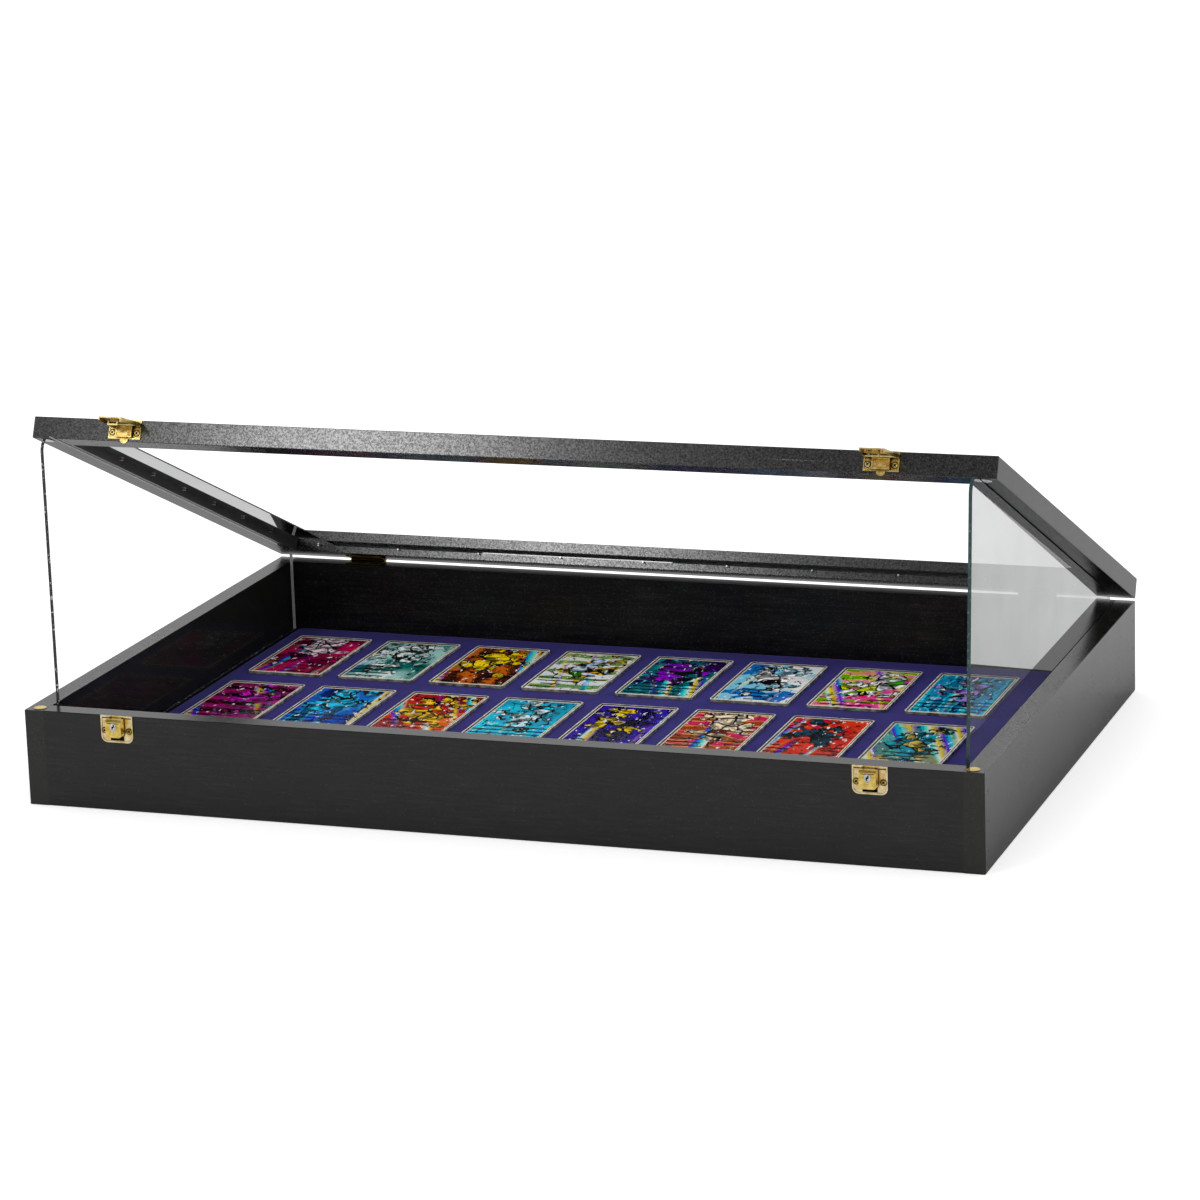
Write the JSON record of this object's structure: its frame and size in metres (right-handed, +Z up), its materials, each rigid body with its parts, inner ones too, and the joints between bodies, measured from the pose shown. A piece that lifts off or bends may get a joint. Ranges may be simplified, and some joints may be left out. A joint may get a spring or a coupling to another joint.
{
  "type": "trading card display case",
  "caption": "Shallow black wooden display box with a velvet floor and graded cards, under a hinged framed glass lid resting open on side glass, with brass locks.",
  "frame": {"origin": "centre of the underside of the box", "axes": "+X to the right, +Y to the rear where the lid is hinged, +Z up"},
  "size_m": [0.9, 0.6182, 0.3618],
  "materials": {
    "painted_board": "black satin paint",
    "plywood": "bare plywood, stained dark",
    "liner": "plain board",
    "velvet": "violet velvet",
    "holder_plastic": "pearl moulded rim",
    "card_face": "printed foil card",
    "clear_cover": "clear polished sheet",
    "clear_glass": "clear float glass with a green edge",
    "polished_brass": "polished and lacquered",
    "brushed_brass": "satin",
    "silver_metal": "polished nickel",
    "steel_pin": "bright drawn steel"
  },
  "bodies": {
    "box": {"front_wall": "painted_board", "rear_wall": "painted_board", "left_wall": "painted_board", "right_wall": "painted_board", "bottom_panel": "plywood", "liner_board": "liner", "velvet_cover": "velvet", "left_ledge": "painted_board", "right_ledge": "painted_board", "corner_brads": "steel_pin", "wall_discs": "polished_brass", "rear_holders": "holder_plastic", "middle_holders": "holder_plastic", "front_holders": "holder_plastic", "rear_cards": "card_face", "middle_cards": "card_face", "front_cards": "card_face", "rear_covers": "clear_cover", "middle_covers": "clear_cover", "front_covers": "clear_cover", "box_hinge_leaves": "brushed_brass", "hinge_pins": "brushed_brass", "box_leaf_screws": "brushed_brass", "left_lock_plate": "polished_brass", "right_lock_plate": "polished_brass", "lock_screws": "brushed_brass"},
    "lid": {"lid_front_rail": "painted_board", "lid_rear_rail": "painted_board", "lid_left_rail": "painted_board", "lid_right_rail": "painted_board", "lid_glass": "clear_glass", "glazing_pins": "steel_pin", "lid_discs": "silver_metal", "lid_hinge_leaves": "brushed_brass", "lid_leaf_screws": "brushed_brass", "left_catch_plate": "brushed_brass", "right_catch_plate": "brushed_brass", "catch_screws": "brushed_brass", "flap_pins": "brushed_brass"},
    "left_flap": {"left_flap": "polished_brass"},
    "right_flap": {"right_flap": "polished_brass"},
    "left_glass": {"left_side_glass": "clear_glass"},
    "right_glass": {"right_side_glass": "clear_glass"},
    "left_slider": {"left_lock_slider": "polished_brass"},
    "right_slider": {"right_lock_slider": "polished_brass"},
    "left_key": {"left_key_cylinder": "silver_metal"},
    "right_key": {"right_key_cylinder": "silver_metal"}
  },
  "joints": [
    {"name": "lid_hinge", "type": "hinge", "parent": "box", "child": "lid", "pos_m": [0, 0.3023, 0.0906], "axis": [-1, 0, 0], "range_deg": [0, 72]},
    {"name": "left_glass_tilt", "type": "hinge", "parent": "box", "child": "left_glass", "pos_m": [-0.4262, 0, 0.02036], "axis": [0, 1, 0], "range_deg": [0, 75]},
    {"name": "right_glass_tilt", "type": "hinge", "parent": "box", "child": "right_glass", "pos_m": [0.4262, 0, 0.02036], "axis": [0, -1, 0], "range_deg": [0, 75]},
    {"name": "left_flap_hinge", "type": "hinge", "parent": "lid", "child": "left_flap", "pos_m": [-0.3579, -0.24603, 0.34888], "axis": [1, 0, 0], "range_deg": [0, 86], "stiffness_Nm_per_rad": 0.03, "springref_deg": -17.19},
    {"name": "left_slider_travel", "type": "slide", "parent": "box", "child": "left_slider", "axis": [0, 0, -1], "range_m": [0, 0.003], "stiffness_N_per_m": 300, "springref_m": -0.002},
    {"name": "left_key_turn", "type": "hinge", "parent": "left_slider", "child": "left_key", "pos_m": [-0.3571, -0.306, 0.0817], "axis": [0, 1, 0], "range_deg": [0, 90]},
    {"name": "right_flap_hinge", "type": "hinge", "parent": "lid", "child": "right_flap", "pos_m": [0.3489, -0.24603, 0.34888], "axis": [1, 0, 0], "range_deg": [0, 86], "stiffness_Nm_per_rad": 0.03, "springref_deg": -17.19},
    {"name": "right_slider_travel", "type": "slide", "parent": "box", "child": "right_slider", "axis": [0, 0, -1], "range_m": [0, 0.003], "stiffness_N_per_m": 300, "springref_m": -0.002},
    {"name": "right_key_turn", "type": "hinge", "parent": "right_slider", "child": "right_key", "pos_m": [0.3497, -0.306, 0.0817], "axis": [0, 1, 0], "range_deg": [0, 90]}
  ]
}
